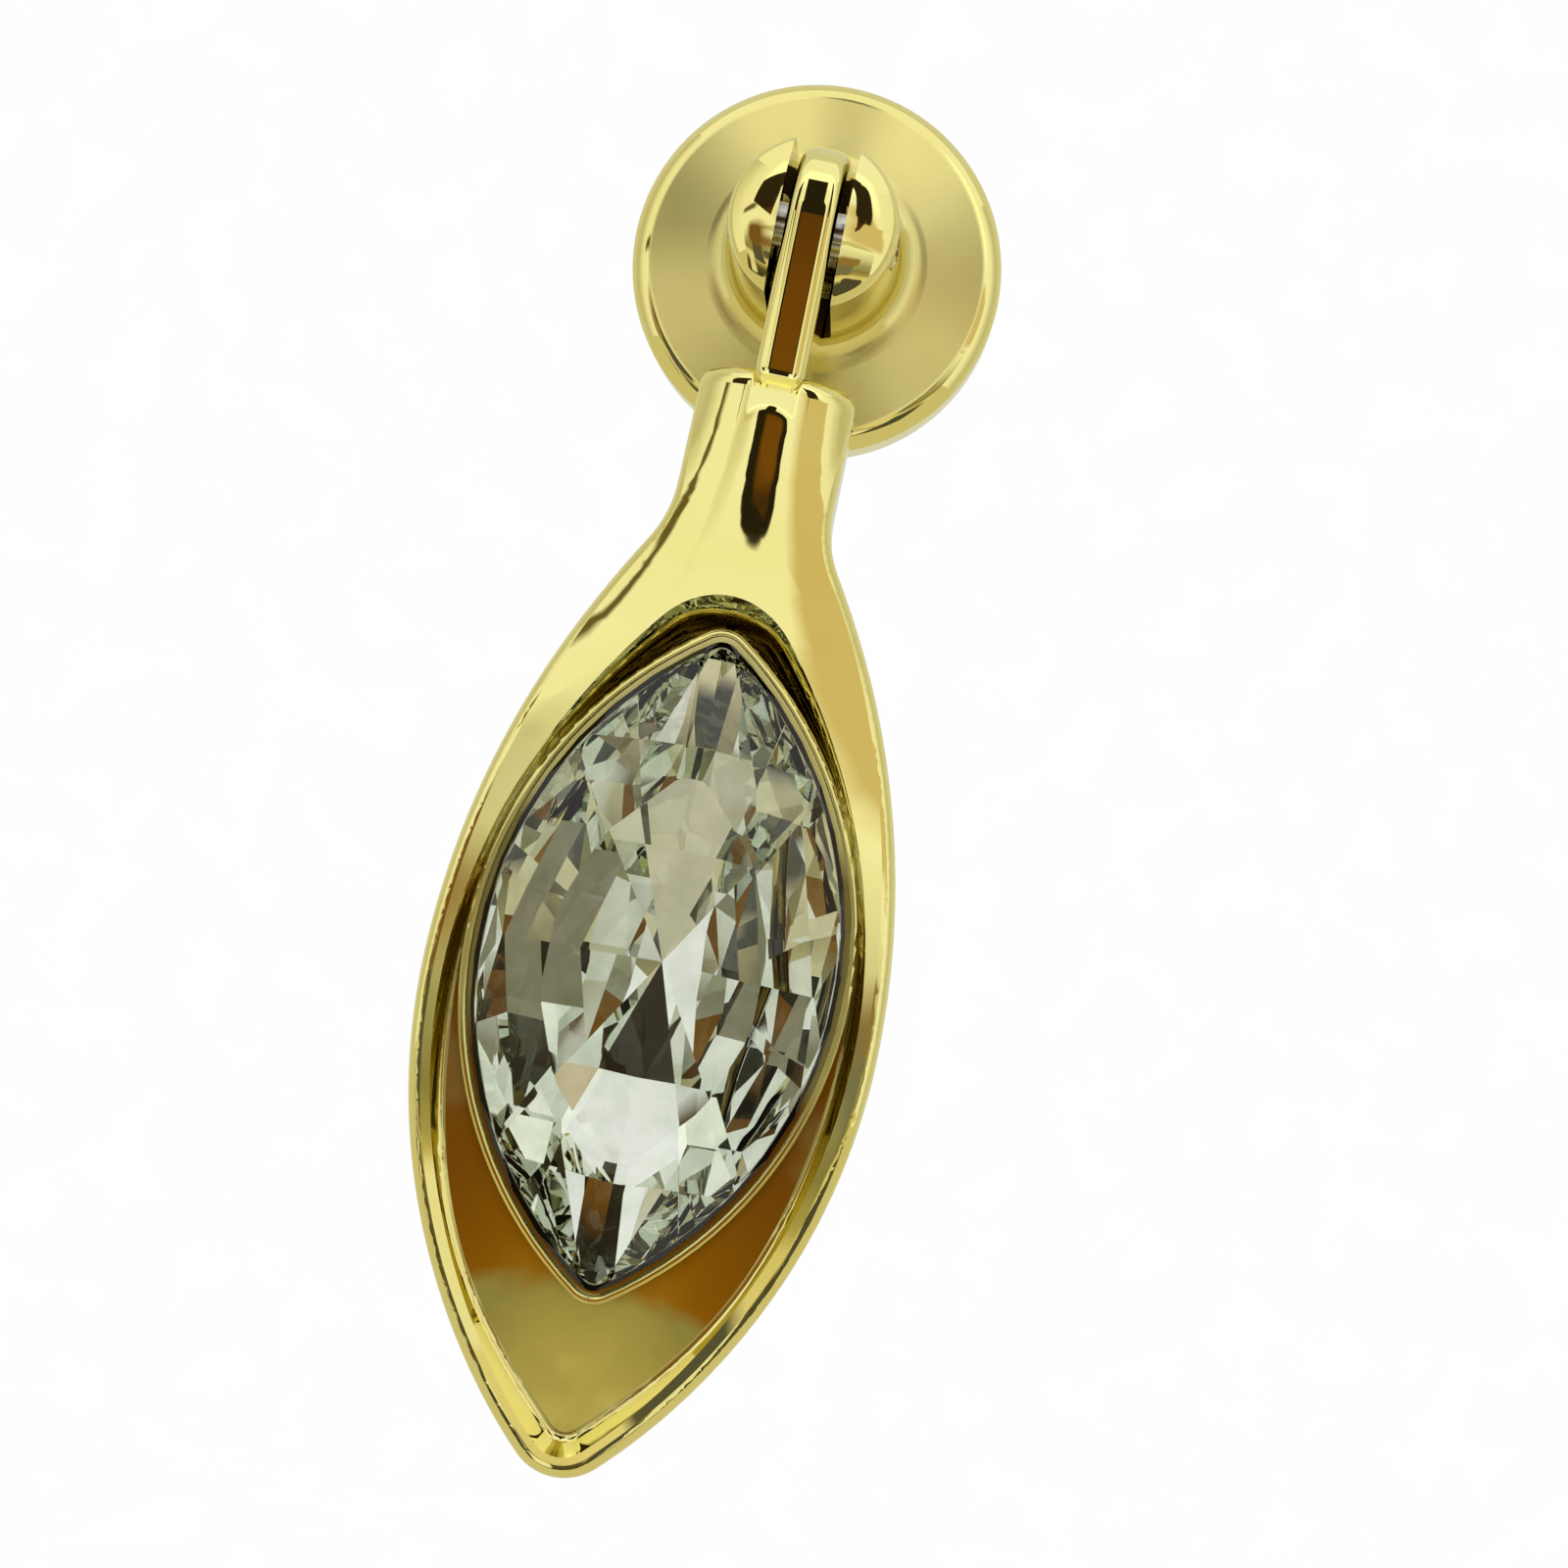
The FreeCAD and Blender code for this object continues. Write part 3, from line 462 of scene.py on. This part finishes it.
# light and dark patches low in front, for the stone's glitter: x and z from and to, and how light
PATCHES = [(-230, -150, -150, -70, 0.10), (-120, -60, -190, -120, 0.9), (20, 60, -150, -110, 0.10),
           (70, 150, -120, -60, 0.2), (-60, -15, -240, -190, 0.95), (60, 120, -230, -160, 0.9),
           (130, 230, -210, -130, 0.08), (-300, -240, -240, -120, 0.8), (-40, 10, -180, -146, 0.12),
           (-200, -130, -300, -220, 0.5), (0, 70, -330, -250, 0.7), (-120, -64, -260, -196, 0.06),
           (30, 56, -236, -160, 0.08), (-150, -112, -116, -84, 0.12), (-50, 20, -320, -250, 0.08)]
PATCH_Y, PATCH_STEP = -137.4, 0.02
for number, (x0, x1, z0, z1, light) in enumerate(PATCHES):
    tint = (light, light * 0.97, light * 0.88)
    flag("patch_%d" % number, x0, x1, z0, z1, PATCH_Y - number * PATCH_STEP, plain(tint), (12, 12), 0.4)

# the horizon's brown and olive strips, the tan ones above it, the light overhead and the glow in the dish
flag("horizon_left", -250, -84, -80, -36, -137.0, plain(BROWN), (40, 20), 0.8)
flag("horizon_middle", -84, 60, -77, -42, -137.1, plain((0.30, 0.27, 0.19)), (30, 12), 0.5)
flag("horizon_right", 70, 180, -84, -50, -137.0, plain(BROWN), (30, 14), 0.5)
flag("right_tan", 64, 340, -24, 96, -136.8, plain((0.70, 0.57, 0.37)), (60, 30), 0.6)
flag("left_tan", -116, -44, -8, 62, -136.8, plain((0.66, 0.60, 0.42)), (30, 30), 0.8)
flag("top_light", -300, 300, 110, 420, -141.0, plain((1.30, 1.28, 1.20)), (80, 60), 0.8)
SCOOP = [(-111, (0.34, 0.17, 0.02)), (-98, (0.24, 0.10, 0.006)), (-80, (0.18, 0.07, 0.008)),
         (-60, (0.12, 0.05, 0.02))]
flag("scoop_glow", -40, 18, -111, -60, -137.2, SCOOP, (29, 24), 0.16)

# walls on both sides, palest at the front
WALL = [(-300, (1.0, 1.0, 0.98)), (-150, (0.95, 0.94, 0.90)), (60, (0.58, 0.56, 0.46)),
        (390, (0.72, 0.70, 0.60))]
for name, x in (("wall_left", -600), ("wall_right", 600)):
    corners = [(x, -300, -240), (x, 390, -240), (x, 390, 600), (x, -300, 600)]
    card(name, corners, glow(name, WALL, along="Y"))


def paper(name, thrown):
    """White paper, which the object's own gold sees in a duller tone than the camera does."""
    n = Nodes(name)
    fibre = n.noise(n.millimetres(), 0.05, 4.0)
    white = n.ramp(fibre, [(0.3, (0.985, 0.985, 0.985)), (0.7, (1.0, 1.0, 1.0))])
    seen = n.add("LightPath").outputs["Is Camera Ray"]
    tone = n.add("MixRGB", {"Color1": (*thrown, 1)}, {"Fac": seen, "Color2": white})
    light = n.add("Emission", {"Strength": 1.0}, {"Color": tone.outputs["Color"]})
    return n.finish(light.outputs["Emission"])


# the paper behind the object and below it
card("backdrop", [(-3000, 400, -250), (3000, 400, -250), (3000, 400, 3000), (-3000, 400, 3000)],
     paper("paper_back", (0.70, 0.69, 0.60)), True)
card("floor", [(-3000, -2500, -250), (3000, -2500, -250), (3000, 400, -250), (-3000, 400, -250)],
     paper("paper_floor", (0.66, 0.61, 0.44)), True)

# camera: placed and turned as the photograph's, with its principal point a little off the middle
IMAGE = 1600.0
PRINCIPAL_X, PRINCIPAL_Y, FOCAL = 870.0, 760.0, 1940.0
ROLL = math.radians(11.77)
STANDS_AT = Vector((8.8, -130.0, -30.57)) * MM
data = bpy.data.cameras.new("camera")
camera = bpy.data.objects.new("camera", data)
scene.collection.objects.link(camera)
data.sensor_width = 36.0
data.lens = FOCAL / IMAGE * data.sensor_width
data.shift_x = 0.5 - PRINCIPAL_X / IMAGE
data.shift_y = PRINCIPAL_Y / IMAGE - 0.5
data.clip_start = 0.005
data.clip_end = 10.0
right = Vector((math.cos(ROLL), 0, math.sin(ROLL)))
up = Vector((-math.sin(ROLL), 0, math.cos(ROLL)))
back = right.cross(up)
placed = Matrix((right, up, back)).transposed().to_4x4()
placed.translation = STANDS_AT
camera.matrix_world = placed
scene.camera = camera
scene.view_settings.view_transform = "Standard"

# the stone and the gold send light back and forth many times
scene.cycles.max_bounces = 32
scene.cycles.glossy_bounces = 24
scene.cycles.transmission_bounces = 24
